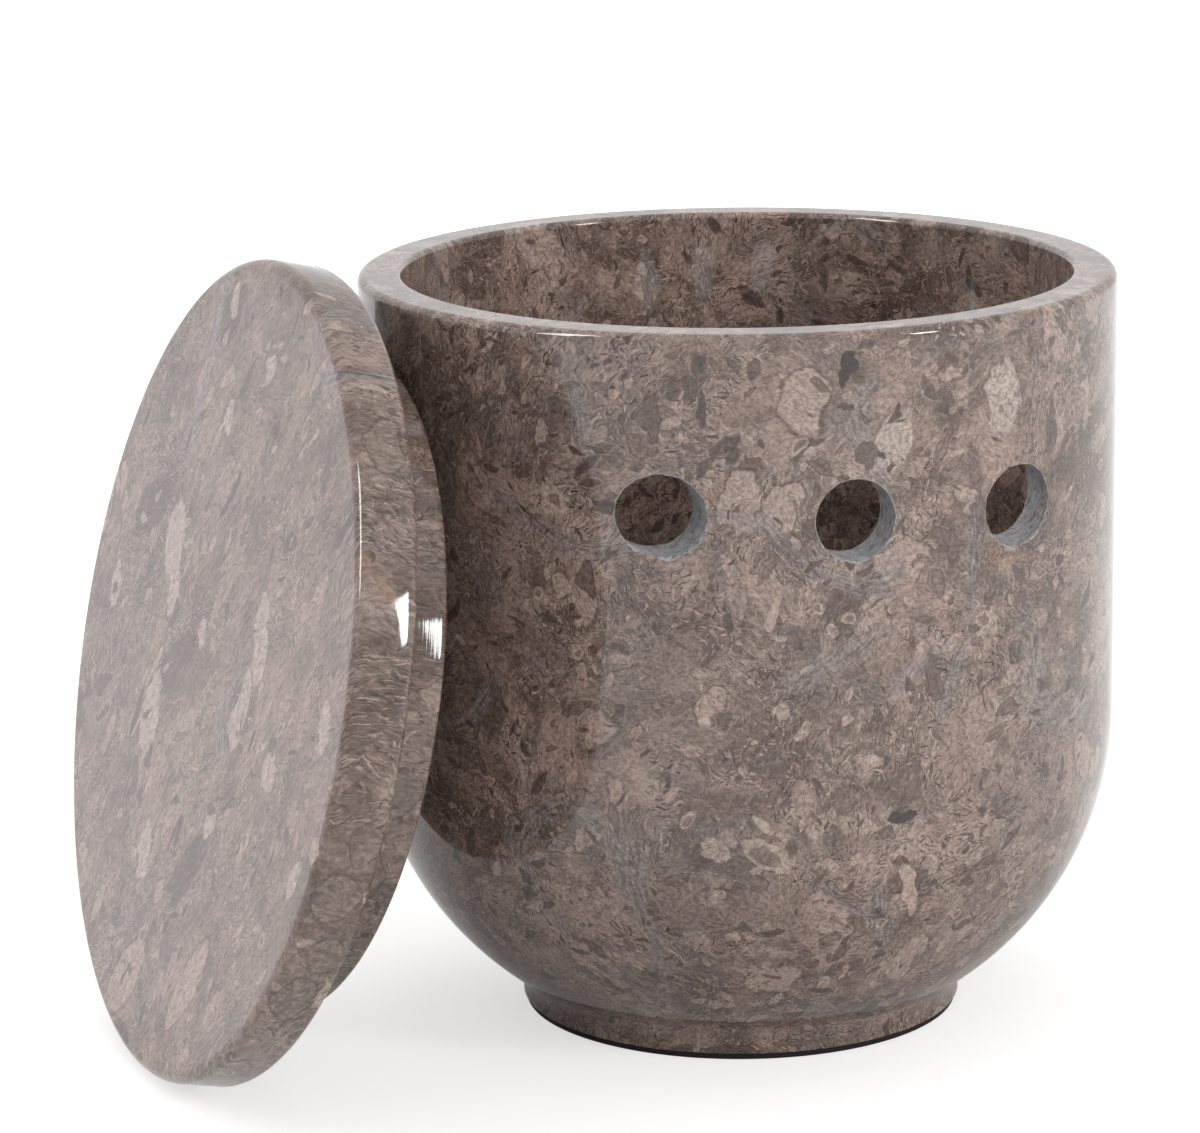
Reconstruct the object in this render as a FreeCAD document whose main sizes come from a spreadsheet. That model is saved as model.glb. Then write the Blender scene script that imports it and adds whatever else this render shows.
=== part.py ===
import FreeCAD, Part
import math
import os

import Sketcher
from FreeCAD import Vector

# A stone garlic keeper in three pieces: a turned jar with air vents, its turned plug lid,
# and a thin pad glued under the jar's foot.
#
# Frame: millimetres, +Z up, origin on the floor on the jar's axis, vents drilled along Y.
# The lid is off. It stands on the floor and leans with its plug against the jar's side.

# Driving dimensions in millimetres and degrees: alias, value, what it is.
SIZES = (
    ("jar_diameter", 127.0, "jar, across its straight side"),
    ("jar_height", 127.0, "floor to rim, with the pad"),
    ("wall_thickness", 7.5, "jar wall, straight side and bowl"),
    ("shoulder_height", 52.0, "floor to where the straight side turns into the bowl"),
    ("foot_diameter", 75.0, "foot that the jar stands on"),
    ("foot_land", 0.8, "straight edge at the bottom of the foot"),
    ("foot_cove", 6.0, "radius of the hollow between foot and bowl"),
    ("foot_edge_round", 0.4, "rounding of the foot's bottom edge"),
    ("floor_thickness", 12.0, "stone under the inside floor"),
    ("floor_round", 12.0, "inside rounding between floor and bowl"),
    ("rim_outer_round", 1.5, "rounding of the rim's outer edge"),
    ("rim_inner_round", 1.0, "rounding of the rim's inner edge"),
    ("vent_diameter", 13.0, "drilled air vent"),
    ("vent_pitch", 29.6, "spacing of the vents along their row"),
    ("vent_count", 3, "vents in the row"),
    ("vent_height", 97.0, "floor to the middle of the row"),
    ("vent_row_slope", 2.3, "fall of the row towards +X, in degrees"),
    ("pad_thickness", 1.0, "pad under the foot"),
    ("pad_inset", 0.5, "pad edge behind the foot's edge"),
    ("lid_overhang", 4.0, "lid edge beyond the jar's side"),
    ("lid_thickness", 10.2, "lid disc"),
    ("lid_edge_round", 2.0, "rounding of both edges of the lid disc"),
    ("plug_depth", 10.0, "plug below the lid disc"),
    ("plug_clearance", 1.5, "gap all round between plug and mouth"),
    ("plug_edge_round", 1.0, "rounding of the plug's lower edge"),
    ("lid_bearing", 186.5, "direction from the jar's axis to the leaning lid, in degrees from +X"),
    ("lid_lean", 12.3, "lean of the lid from upright, in degrees"),
    ("lid_standoff", 0.3, "gap between the leaning plug and the jar"),
)

# Radii and heights that several pieces share, as expressions on the sheet.
JAR_RADIUS = "Sizes.jar_diameter / 2"
FOOT_RADIUS = "Sizes.foot_diameter / 2"
PLUG_RADIUS = "(Sizes.jar_diameter / 2 - Sizes.wall_thickness - Sizes.plug_clearance)"
LID_RADIUS = "(Sizes.jar_diameter / 2 + Sizes.lid_overhang)"

# Point positions and fixed geometry in Sketcher's own numbering.
START, END, CENTRE = range(1, 4)
HORIZONTAL_AXIS, VERTICAL_AXIS = range(-1, -3, -1)
ORIGIN = (HORIZONTAL_AXIS, START)

# How far a ring edge may lie from the radius and height that name it.
RING_TOLERANCE = 0.01


def make_sizes(doc):
    """Fill the sheet: one row per driving dimension, with its alias on the number."""
    sheet = doc.addObject("Spreadsheet::Sheet", "Sizes")
    for row, (alias, value, meaning) in enumerate(SIZES, start=1):
        sheet.set(f"A{row}", alias)
        sheet.set(f"B{row}", str(value))
        sheet.set(f"C{row}", meaning)
        sheet.setAlias(f"B{row}", alias)
    doc.recompute()
    return sheet


def origin_feature(body, role):
    """The body's own origin plane or axis with this role."""
    return next(item for item in body.Origin.OriginFeatures if item.Role == role)


def new_body(doc, name):
    """An empty body whose label names the piece."""
    body = doc.addObject("PartDesign::Body", name)
    body.Label = name
    return body


def new_sketch(body, name, plane):
    """An empty sketch lying on one of the body's own origin planes."""
    sketch = body.newObject("Sketcher::SketchObject", name)
    sketch.AttachmentSupport = [(origin_feature(body, plane), "")]
    sketch.MapMode = "FlatFace"
    return sketch


def dimension(sketch, name, kind, where, expression):
    """Add a named dimension at its drawn size and bind it to the sheet."""
    drawn = sketch_measure(sketch, kind, where)
    index = sketch.addConstraint(Sketcher.Constraint(kind, *where, drawn))
    sketch.renameConstraint(index, name)
    sketch.setExpression(f"Constraints.{name}", expression)


def sketch_measure(sketch, kind, where):
    """The drawn value of a radius, or of the distance between two points."""
    if kind == "Radius":
        return sketch.Geometry[where[0]].Radius
    step = sketch.getPoint(*where[2:4]) - sketch.getPoint(*where[0:2])
    return step.x if kind == "DistanceX" else step.y


def line(x1, y1, x2, y2):
    return Part.LineSegment(Vector(x1, y1, 0), Vector(x2, y2, 0))


def arc(centre, radius, start_angle, end_angle):
    """A counterclockwise arc in the sketch plane."""
    circle = Part.Circle(Vector(*centre, 0), Vector(0, 0, 1), radius)
    return Part.ArcOfCircle(circle, start_angle, end_angle)


def revolve(body, sketch, name):
    """A full turn of the section about the body's upright axis."""
    turned = body.newObject("PartDesign::Revolution", name)
    turned.Profile = sketch
    turned.ReferenceAxis = (sketch, ["V_Axis"])
    turned.Angle = 360
    return turned


def round_edges(body, base, name, expression, rings):
    """Round the ring edges of a turned feature, each given by its radius and its height."""
    body.Document.recompute()
    edges = [ring_name(base.Shape, radius, height) for radius, height in rings]
    rounding = body.newObject("PartDesign::Fillet", name)
    rounding.Base = (base, edges)
    rounding.setExpression("Radius", expression)
    return rounding


def ring_name(shape, radius, height):
    """The name of the ring edge with this radius and height."""
    for index, edge in enumerate(shape.Edges, start=1):
        curve = edge.Curve
        if not isinstance(curve, Part.Circle):
            continue
        miss = max(abs(curve.Radius - radius), abs(curve.Center.z - height))
        if miss < RING_TOLERANCE:
            return f"Edge{index}"
    raise RuntimeError(f"no ring edge of radius {radius} at height {height}")


def draw_jar_section(sketch, size):
    """Half section of the jar: foot, cove, bowl and side outside, parallel wall inside."""
    side = size.jar_diameter / 2
    inner_side = side - size.wall_thickness
    foot = size.foot_diameter / 2
    base = size.pad_thickness
    floor = base + size.floor_thickness

    # The bowl's arc leaves the straight side at the shoulder and meets the cove smoothly.
    cove_x = foot + size.foot_cove
    cove_y = base + size.foot_land
    across = side - cove_x
    rise = size.shoulder_height - cove_y
    bowl = (across ** 2 + rise ** 2 - size.foot_cove ** 2) / (2 * (across + size.foot_cove))
    bowl_x = side - bowl
    bowl_y = size.shoulder_height
    cove_angle = math.atan2(bowl_y - cove_y, bowl_x - cove_x)

    # The floor's rounding lies inside the inner arc, which has the bowl's centre.
    inner_bowl = bowl - size.wall_thickness
    round_y = floor + size.floor_round
    reach = inner_bowl - size.floor_round
    round_x = bowl_x + math.sqrt(reach ** 2 - (bowl_y - round_y) ** 2)
    round_angle = math.atan2(round_y - bowl_y, round_x - bowl_x)

    outer_join = (bowl_x, bowl_y)
    half_turn = math.pi
    quarter_turn = math.pi / 2
    (foot_base, foot_side, cove, outer_bowl, outer_side, rim,
     inner_wall, inner_arc, floor_arc, floor_line, axis) = sketch.addGeometry([
        line(0, base, foot, base),
        line(foot, base, foot, cove_y),
        arc((cove_x, cove_y), size.foot_cove, cove_angle, half_turn),
        arc(outer_join, bowl, cove_angle - half_turn, 0),
        line(side, bowl_y, side, size.jar_height),
        line(side, size.jar_height, inner_side, size.jar_height),
        line(inner_side, size.jar_height, inner_side, bowl_y),
        arc(outer_join, inner_bowl, round_angle, 0),
        arc((round_x, round_y), size.floor_round, -quarter_turn, round_angle),
        line(round_x, floor, 0, floor),
        line(0, floor, 0, base),
    ])

    for flat in (foot_base, rim, floor_line):
        sketch.addConstraint(Sketcher.Constraint("Horizontal", flat))
    for upright in (foot_side, outer_side, inner_wall):
        sketch.addConstraint(Sketcher.Constraint("Vertical", upright))
    for corner in (
        (foot_base, END, foot_side, START),
        (outer_side, END, rim, START),
        (rim, END, inner_wall, START),
        (floor_line, END, axis, START),
        (axis, END, foot_base, START),
        (outer_bowl, CENTRE, inner_arc, CENTRE),
    ):
        sketch.addConstraint(Sketcher.Constraint("Coincident", *corner))
    for smooth in (
        (foot_side, END, cove, END),
        (cove, START, outer_bowl, START),
        (outer_bowl, END, outer_side, START),
        (inner_wall, END, inner_arc, END),
        (inner_arc, START, floor_arc, END),
        (floor_arc, START, floor_line, START),
    ):
        sketch.addConstraint(Sketcher.Constraint("Tangent", *smooth))
    for on_axis in ((foot_base, START), (floor_line, END)):
        sketch.addConstraint(Sketcher.Constraint("PointOnObject", *on_axis, VERTICAL_AXIS))

    for name, kind, where, expression in (
        ("base_height", "DistanceY", (*ORIGIN, foot_base, START), "Sizes.pad_thickness"),
        ("foot_radius", "DistanceX", (foot_base, START, foot_base, END), FOOT_RADIUS),
        ("foot_land", "DistanceY", (foot_side, START, foot_side, END), "Sizes.foot_land"),
        ("cove_radius", "Radius", (cove,), "Sizes.foot_cove"),
        ("side_radius", "DistanceX", (*ORIGIN, outer_side, START), JAR_RADIUS),
        ("shoulder", "DistanceY", (*ORIGIN, outer_side, START), "Sizes.shoulder_height"),
        ("rim_height", "DistanceY", (*ORIGIN, outer_side, END), "Sizes.jar_height"),
        ("wall", "DistanceX", (rim, END, rim, START), "Sizes.wall_thickness"),
        ("floor", "DistanceY", (foot_base, START, floor_line, END), "Sizes.floor_thickness"),
        ("floor_radius", "Radius", (floor_arc,), "Sizes.floor_round"),
    ):
        dimension(sketch, name, kind, where, expression)


def drill_vents(body, size):
    """One row of parallel vents, drilled along Y through the front and back walls."""
    sketch = new_sketch(body, "vent_sketch", "XZ_Plane")
    # The sketch is turned about the middle vent, so the row falls evenly towards +X.
    sketch.setExpression("AttachmentOffset.Base.y", "Sizes.vent_height")
    sketch.setExpression("AttachmentOffset.Rotation.Angle", "-Sizes.vent_row_slope * 1 deg")
    first = -size.vent_pitch * (size.vent_count - 1) / 2
    circle = Part.Circle(Vector(first, 0, 0), Vector(0, 0, 1), size.vent_diameter / 2)
    vent = sketch.addGeometry(circle)
    sketch.addConstraint(Sketcher.Constraint("PointOnObject", vent, CENTRE, HORIZONTAL_AXIS))
    dimension(sketch, "half_row", "DistanceX", (vent, CENTRE, *ORIGIN),
              "Sizes.vent_pitch * (Sizes.vent_count - 1) / 2")
    dimension(sketch, "vent_radius", "Radius", (vent,), "Sizes.vent_diameter / 2")

    drilled = body.newObject("PartDesign::Pocket", "vent")
    drilled.Profile = sketch
    drilled.Type = "ThroughAll"
    drilled.Midplane = True
    body.Document.recompute()

    row = body.newObject("PartDesign::LinearPattern", "vent_row")
    row.Originals = [drilled]
    row.Direction = (sketch, ["H_Axis"])
    row.Mode = "Spacing"
    row.setExpression("Offset", "Sizes.vent_pitch")
    row.setExpression("Occurrences", "Sizes.vent_count")
    body.Tip = row


def make_jar(doc, size):
    """The jar, turned from one block of stone and drilled."""
    body = new_body(doc, "jar")
    section = new_sketch(body, "jar_section", "XZ_Plane")
    draw_jar_section(section, size)
    turned = revolve(body, section, "jar_turning")

    side = size.jar_diameter / 2
    outer_rim = (side, size.jar_height)
    inner_rim = (side - size.wall_thickness, size.jar_height)
    foot_edge = (size.foot_diameter / 2, size.pad_thickness)
    rounded = round_edges(body, turned, "outer_rim", "Sizes.rim_outer_round", [outer_rim])
    rounded = round_edges(body, rounded, "inner_rim", "Sizes.rim_inner_round", [inner_rim])
    round_edges(body, rounded, "foot_edge", "Sizes.foot_edge_round", [foot_edge])
    drill_vents(body, size)
    return body


def make_foot_pad(doc, size):
    """The thin pad under the foot, flat on the floor."""
    body = new_body(doc, "foot_pad")
    sketch = new_sketch(body, "pad_outline", "XY_Plane")
    radius = size.foot_diameter / 2 - size.pad_inset
    disc = sketch.addGeometry(Part.Circle(Vector(0, 0, 0), Vector(0, 0, 1), radius))
    sketch.addConstraint(Sketcher.Constraint("Coincident", disc, CENTRE, *ORIGIN))
    dimension(sketch, "pad_radius", "Radius", (disc,), f"{FOOT_RADIUS} - Sizes.pad_inset")
    sheet = body.newObject("PartDesign::Pad", "pad_sheet")
    sheet.Profile = sketch
    sheet.setExpression("Length", "Sizes.pad_thickness")
    return body


def draw_lid_section(sketch, size):
    """Half section of the lid: the disc stands on y = 0 and the plug hangs below it."""
    plug = size.jar_diameter / 2 - size.wall_thickness - size.plug_clearance
    edge = size.jar_diameter / 2 + size.lid_overhang
    corners = (
        (0, -size.plug_depth),
        (plug, -size.plug_depth),
        (plug, 0),
        (edge, 0),
        (edge, size.lid_thickness),
        (0, size.lid_thickness),
    )
    closed = corners + corners[:1]
    sides = sketch.addGeometry([line(*a, *b) for a, b in zip(closed, closed[1:])])
    plug_face, plug_side, seat, rim, top, axis = sides
    for first, second in zip(sides, sides[1:] + sides[:1]):
        sketch.addConstraint(Sketcher.Constraint("Coincident", first, END, second, START))
    for flat in (plug_face, seat, top):
        sketch.addConstraint(Sketcher.Constraint("Horizontal", flat))
    for upright in (plug_side, rim):
        sketch.addConstraint(Sketcher.Constraint("Vertical", upright))
    for on_axis in ((plug_face, START), (top, END)):
        sketch.addConstraint(Sketcher.Constraint("PointOnObject", *on_axis, VERTICAL_AXIS))
    for name, kind, where, expression in (
        ("plug_depth", "DistanceY", (plug_face, START, *ORIGIN), "Sizes.plug_depth"),
        ("plug_radius", "DistanceX", (*ORIGIN, plug_face, END), PLUG_RADIUS),
        ("plug_height", "DistanceY", (plug_side, START, plug_side, END), "Sizes.plug_depth"),
        ("disc_radius", "DistanceX", (*ORIGIN, rim, START), LID_RADIUS),
        ("disc_height", "DistanceY", (rim, START, rim, END), "Sizes.lid_thickness"),
    ):
        dimension(sketch, name, kind, where, expression)


def lean_lid(body):
    """Stand the lid on the floor and lean its plug on the jar, clear by the standoff."""
    lean = "Sizes.lid_lean * 1 deg"
    bearing = "Sizes.lid_bearing * 1 deg"
    disc_round = "Sizes.lid_edge_round"
    plug_round = "Sizes.plug_edge_round"
    rim_round = "Sizes.rim_outer_round"
    # The disc's rounded lower edge stands on the floor and sets the height.
    height = (
        f"({disc_round} + ({LID_RADIUS} - {disc_round}) * cos({lean})"
        f" - {disc_round} * sin({lean}))"
    )
    # The plug's rounded upper edge touches the jar's side, below the rim.
    touch_height = (
        f"({height} - (Sizes.plug_depth - {plug_round}) * sin({lean})"
        f" + ({PLUG_RADIUS} - {plug_round}) * cos({lean}))"
    )
    against_side = (
        f"({JAR_RADIUS} + Sizes.lid_standoff + {plug_round}"
        f" + (Sizes.plug_depth - {plug_round}) * cos({lean})"
        f" + ({PLUG_RADIUS} - {plug_round}) * sin({lean}))"
    )
    # A lid that reaches above a low jar touches the rim's rounded edge with the plug's face.
    rim_height = f"(Sizes.jar_height - {rim_round})"
    against_rim = (
        f"({JAR_RADIUS} - {rim_round} + (Sizes.plug_depth + {rim_round} + Sizes.lid_standoff"
        f" - ({height} - {rim_height}) * sin({lean})) / cos({lean}))"
    )
    away = f"({touch_height} < {rim_height} ? {against_side} : {against_rim})"
    body.setExpression("Placement", (
        f"placement(vector({away} * cos({bearing}); {away} * sin({bearing}); {height});"
        f" rotationz({bearing}) * rotationy(90 deg - {lean}))"
    ))


def make_lid(doc, size):
    """The lid, turned in one piece: a disc that sits on the rim and a plug for the mouth."""
    body = new_body(doc, "lid")
    section = new_sketch(body, "lid_section", "XZ_Plane")
    draw_lid_section(section, size)
    turned = revolve(body, section, "lid_turning")

    edge = size.jar_diameter / 2 + size.lid_overhang
    plug = size.jar_diameter / 2 - size.wall_thickness - size.plug_clearance
    disc_edges = [(edge, 0), (edge, size.lid_thickness)]
    plug_edge = [(plug, -size.plug_depth)]
    rounded = round_edges(body, turned, "disc_edges", "Sizes.lid_edge_round", disc_edges)
    round_edges(body, rounded, "plug_edge", "Sizes.plug_edge_round", plug_edge)
    lean_lid(body)
    return body


def check(doc, bodies):
    """Stop before anything is written if an object failed or a piece is not one solid."""
    for item in doc.Objects:
        if "Invalid" in item.State or "Error" in item.State:
            raise RuntimeError(f"{item.Name} did not recompute: {item.State}")
    for body in bodies:
        shape = body.Shape
        if shape.isNull() or not shape.isValid() or len(shape.Solids) != 1:
            raise RuntimeError(f"{body.Label} is not one valid solid")
    turned = doc.getObject("foot_edge").Shape.Volume
    if doc.getObject("jar").Shape.Volume >= turned:
        raise RuntimeError("the vents cut nothing")


def write_parts(bodies):
    os.makedirs("parts", exist_ok=True)
    for body in bodies:
        body.Shape.exportStep(f"parts/{body.Label}.step")


def main():
    doc = FreeCAD.newDocument("garlic_keeper")
    size = make_sizes(doc)
    bodies = (make_jar(doc, size), make_foot_pad(doc, size), make_lid(doc, size))
    doc.recompute()
    check(doc, bodies)
    write_parts(bodies)


main()
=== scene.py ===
"""A polished stone garlic keeper with its plug lid taken off and leaning on its side.

Lengths are millimetres until a mesh is made, in the CAD frame: +Z up, the jar's axis at
X = Y = 0, the vents drilled along Y with the seen row facing -Y. An azimuth is measured from
-Y towards +X.
"""

import math
from collections import namedtuple
from itertools import pairwise

import bpy
from mathutils import Matrix, Vector, noise


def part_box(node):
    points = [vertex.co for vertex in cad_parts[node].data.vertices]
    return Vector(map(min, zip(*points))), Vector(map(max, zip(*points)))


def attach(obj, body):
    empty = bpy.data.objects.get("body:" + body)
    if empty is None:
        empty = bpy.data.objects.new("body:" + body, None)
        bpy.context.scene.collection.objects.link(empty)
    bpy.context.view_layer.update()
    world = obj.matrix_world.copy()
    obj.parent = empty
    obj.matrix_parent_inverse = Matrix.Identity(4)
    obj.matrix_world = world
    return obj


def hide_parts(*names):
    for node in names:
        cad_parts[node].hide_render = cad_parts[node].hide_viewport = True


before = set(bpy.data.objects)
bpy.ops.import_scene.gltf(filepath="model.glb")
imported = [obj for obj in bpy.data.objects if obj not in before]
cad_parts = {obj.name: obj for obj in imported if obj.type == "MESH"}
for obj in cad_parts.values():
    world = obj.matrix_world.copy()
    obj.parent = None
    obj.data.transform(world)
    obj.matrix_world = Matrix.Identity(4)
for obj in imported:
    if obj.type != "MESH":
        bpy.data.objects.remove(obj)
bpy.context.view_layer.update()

MM = 0.001

# Sizes that the frame gives.
JAR_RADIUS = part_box("jar")[1].x / MM
RIM_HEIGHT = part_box("jar")[1].z / MM
PAD_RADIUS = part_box("foot_pad")[1].x / MM
PAD_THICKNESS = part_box("foot_pad")[1].z / MM

# The jar's section, and the cut edge of its pad.
WALL = 7.5
SHOULDER_HEIGHT = 52.0
FOOT_RADIUS = 37.5
FOOT_LAND = 0.8
FOOT_COVE = 6.0
FOOT_EDGE_ROUND = 0.4
FLOOR_HEIGHT = PAD_THICKNESS + 12.0
FLOOR_ROUND = 12.0
RIM_OUTER_ROUND = 1.5
RIM_INNER_ROUND = 1.0
PAD_EDGE_ROUND = 0.18

# The vents: one row of parallel, slightly uneven drillings through the front and back walls.
VENT_RADIUS = 6.5
VENT_PITCH = 29.6
VENT_COUNT = 3
VENT_HEIGHT = 97.0
VENT_ROW_SLOPE = math.radians(2.3)
VENT_UNEVENNESS = 0.09

# The lips of the vents: their least chamfer, and how deep wide and fine chips may go.
LIP_CHAMFER = 0.14
WIDE_CHIP = 0.8
FINE_CHIP = 0.45

# The lid, and how it leans, on a bearing that is measured from +X.
LID_RADIUS = JAR_RADIUS + 4.0
LID_THICKNESS = 10.2
LID_EDGE_ROUND = 2.0
LID_CROWN = 0.12
PLUG_DEPTH = 10.0
PLUG_RADIUS = JAR_RADIUS - WALL - 1.5
PLUG_EDGE_ROUND = 1.0
PLUG_SEAT_ROUND = 0.4
LID_BEARING = math.radians(186.5)
LID_LEAN = math.radians(12.3)
LID_STANDOFF = 0.3
LID_BEDDING = math.radians(-42.0)

# Steps of the meshes: along a vent's square block, round the jar's side between the front and
# back blocks, and from a block's edge to the lip and on through the wall.
BLOCK_STEPS = 28
SIDE_STEPS = 44
MOUTH_STEPS = 7
TUBE_STEPS = 8
LID_COLUMNS = 240
PAD_COLUMNS = 180

# Faces carry one of these finishes by its place in the piece's material list.
POLISHED, DRILLED = 0, 1

# The photograph's camera: place, heading, how far it looks down, tilt and lens.
CAMERA_PLACE = (-233.39, -764.81, 264.57)
CAMERA_HEADING = math.radians(-15.2895)
CAMERA_PITCH = math.radians(90 - 13.3012)
CAMERA_ROLL = math.radians(-0.714)
CAMERA_LENS = 145.125
CAMERA_SENSOR = 36.0

# The soft light of the surroundings: an even part, and glows that fade away from their middle.
EVEN_LIGHT = 0.05
Glow = namedtuple("Glow", "azimuth elevation tightness strength")
GLOWS = (
    Glow(110, 20, 3, 0.16),
    Glow(0, 90, 2, 0.9),
    Glow(-150, 25, 2, 0.15),
    Glow(-112, 22, 14, 2.9),
    Glow(10, 22, 20, 2.8),
)
SOFTBOX_AIM = Vector((0, 0, 80))
SOFTBOX_DISTANCE = 1500
FLOOR_REACH = 4000


# ---------- short calls for nodes

def srgb(red, green, blue):
    """A colour given as 0 to 255 screen values, as the shader wants it."""
    def linear(value):
        value /= 255
        return value / 12.92 if value <= 0.04045 else ((value + 0.055) / 1.055) ** 2.4
    return (linear(red), linear(green), linear(blue), 1.0)


# The height over the middle plane of a body and the distance from its axis, in millimetres,
# with the random colour of its cell and one more random number.
Bodies = namedtuple("Bodies", "height out lot pick")


class Nodes:
    """Builds one node tree with a call for each node. A number or a node may be an input."""

    def __init__(self, owner):
        self.owner = owner
        owner.use_nodes = True
        self.tree = owner.node_tree
        self.tree.nodes.clear()

    @classmethod
    def of_material(cls, name):
        return cls(bpy.data.materials.new(name))

    def link(self, value, socket):
        if isinstance(value, bpy.types.Node):
            value = value.outputs[0]
        if isinstance(value, bpy.types.NodeSocket):
            self.tree.links.new(value, socket)
        else:
            socket.default_value = value

    def add(self, kind, inputs=None, settings=None, **named):
        node = self.tree.nodes.new(kind)
        for key, value in (settings or {}).items():
            setattr(node, key, value)
        for key, value in {**(inputs or {}), **named}.items():
            self.link(value, node.inputs[key])
        return node

    def close_material(self, colour, roughness, relief, depth, strength=1.0):
        """Make the surface of a colour, a roughness and a relief so many millimetres deep."""
        shader = self.add("ShaderNodeBsdfPrincipled", {"Base Color": colour,
                                                       "Roughness": roughness})
        bump = self.add("ShaderNodeBump", Height=relief, Distance=depth * MM, Strength=strength)
        self.link(bump, shader.inputs["Normal"])
        self.add("ShaderNodeOutputMaterial", Surface=shader)
        return self.owner

    def position(self):
        """The point in millimetres, in the piece's own frame."""
        place = self.add("ShaderNodeTexCoord").outputs["Object"]
        return self.vector("SCALE", place, scale=1 / MM)

    def seen_directly(self):
        """1 where the camera, a mirror image or a see-through surface shows the point."""
        path = self.add("ShaderNodeLightPath").outputs
        either = self.math("MAXIMUM", path["Is Camera Ray"], path["Is Glossy Ray"])
        return self.math("MAXIMUM", either, path["Is Transmission Ray"])

    def math(self, operation, *values):
        return self.add("ShaderNodeMath", dict(enumerate(values)),
                        {"operation": operation}).outputs[0]

    def vector(self, operation, *values, scale=None):
        inputs = dict(enumerate(values))
        if scale is not None:
            inputs["Scale"] = scale
        node = self.add("ShaderNodeVectorMath", inputs, {"operation": operation})
        is_number = operation in ("DOT_PRODUCT", "LENGTH")
        return node.outputs["Value" if is_number else "Vector"]

    def noise(self, at, size, detail=2.0, roughness=0.5, colour=False):
        """Cloudy noise with lumps of about this size."""
        node = self.add("ShaderNodeTexNoise", Vector=at, Scale=1 / size, Detail=detail,
                        Roughness=roughness)
        return node.outputs["Color" if colour else "Fac"]

    def sway(self, at, size, reach, detail=2.0):
        """The point moved by up to the reach, in lumps of about this size."""
        cloud = self.noise(at, size, detail, colour=True)
        push = self.vector("SUBTRACT", cloud, (0.5, 0.5, 0.5))
        return self.vector("ADD", at, self.vector("SCALE", push, scale=2 * reach))

    def step(self, value, low, high):
        """0 below low and 1 above high, smooth in between; high may be the lesser."""
        node = self.add("ShaderNodeMapRange", {"Value": value, "From Min": low, "From Max": high},
                        {"interpolation_type": "SMOOTHSTEP"})
        return node.outputs["Result"]

    def mix(self, share, first, second, blend="MIX"):
        node = self.add("ShaderNodeMix", settings={"data_type": "RGBA", "blend_type": blend})
        self.link(share, node.inputs["Factor"])
        for socket, value in zip((s for s in node.inputs if s.type == "RGBA"), (first, second)):
            self.link(value, socket)
        return next(s for s in node.outputs if s.type == "RGBA")

    def channels(self, colour):
        return self.add("ShaderNodeSeparateColor", Color=colour).outputs[:3]

    def total(self, *weighed, offset=0.0):
        """The sum of values, each given with its weight."""
        result = offset
        for value, weight in weighed:
            result = self.math("MULTIPLY_ADD", value, weight, result)
        return result

    def total_squares(self, first, second):
        return self.math("MULTIPLY_ADD", first, first, self.math("MULTIPLY", second, second))

    def bodies(self, at, spacing, lean=None):
        """A flat round body, turned its own way, in each of the cells that fill the space.

        The bodies' axes may lean along a vector.
        """
        cells = self.add("ShaderNodeTexVoronoi", Vector=at, Scale=1 / spacing)
        lot = cells.outputs["Color"]
        inside = self.vector("SUBTRACT", at, cells.outputs["Position"])
        way = self.vector("SUBTRACT", lot, (0.5, 0.5, 0.5))
        if lean is not None:
            way = self.vector("ADD", way, lean)
        axis = self.vector("NORMALIZE", way)
        height = self.vector("DOT_PRODUCT", inside, axis)
        off_axis = self.vector("SUBTRACT", inside, self.vector("SCALE", axis, scale=height))
        pick = self.math("FRACT", self.vector("DOT_PRODUCT", lot, (37.0, 23.0, 11.0)))
        return Bodies(height, self.vector("LENGTH", off_axis), lot, pick)

    def sized(self, bodies, radius, thickness, curve=0.0):
        """The height over a body's middle plane and the distance from its axis.

        Both are 1 at its surface. The plane may curve like a shell, by so many millimetres
        at the edge.
        """
        height = bodies.height
        out = self.math("MULTIPLY", bodies.out, 1 / radius)
        if curve:
            height = self.math("MULTIPLY_ADD", self.math("MULTIPLY", out, out), -curve, height)
        return self.math("MULTIPLY", height, 1 / thickness), out

    def lens(self, height, out):
        """0 in the middle and 1 at the surface of a body with a sharp edge."""
        return self.math("MULTIPLY_ADD", out, out, self.math("ABSOLUTE", height))

    def pebble(self, height, out):
        """0 in the middle and 1 at the surface of a round body."""
        return self.math("SQRT", self.total_squares(height, out))

    def placed(self, at, place, radii):
        """The point in the frame of a body that a matrix places, in shares of its radii."""
        node = self.add("ShaderNodeMapping", {"Vector": at}, {"vector_type": "TEXTURE"},
                        Location=place.translation, Rotation=place.to_euler(), Scale=radii)
        return node.outputs[0]


# ---------- camera, stage and light

def make_camera():
    """The photograph's view: slightly from the left and above, through a long lens."""
    camera = bpy.data.objects.new("camera", bpy.data.cameras.new("camera"))
    camera.location = Vector(CAMERA_PLACE) * MM
    turn = Matrix.Rotation(CAMERA_HEADING, 4, "Z") @ Matrix.Rotation(CAMERA_PITCH, 4, "X")
    camera.rotation_euler = (turn @ Matrix.Rotation(CAMERA_ROLL, 4, "Z")).to_euler()
    camera.data.sensor_width = CAMERA_SENSOR
    camera.data.lens = CAMERA_LENS
    camera.data.clip_start = 0.01
    bpy.context.scene.collection.objects.link(camera)
    bpy.context.scene.camera = camera


def toward(azimuth, elevation):
    """The direction that an azimuth and a height angle give, both in degrees."""
    turn, rise = math.radians(azimuth), math.radians(elevation)
    across = math.cos(rise)
    return Vector((math.sin(turn) * across, -math.cos(turn) * across, math.sin(rise)))


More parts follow.
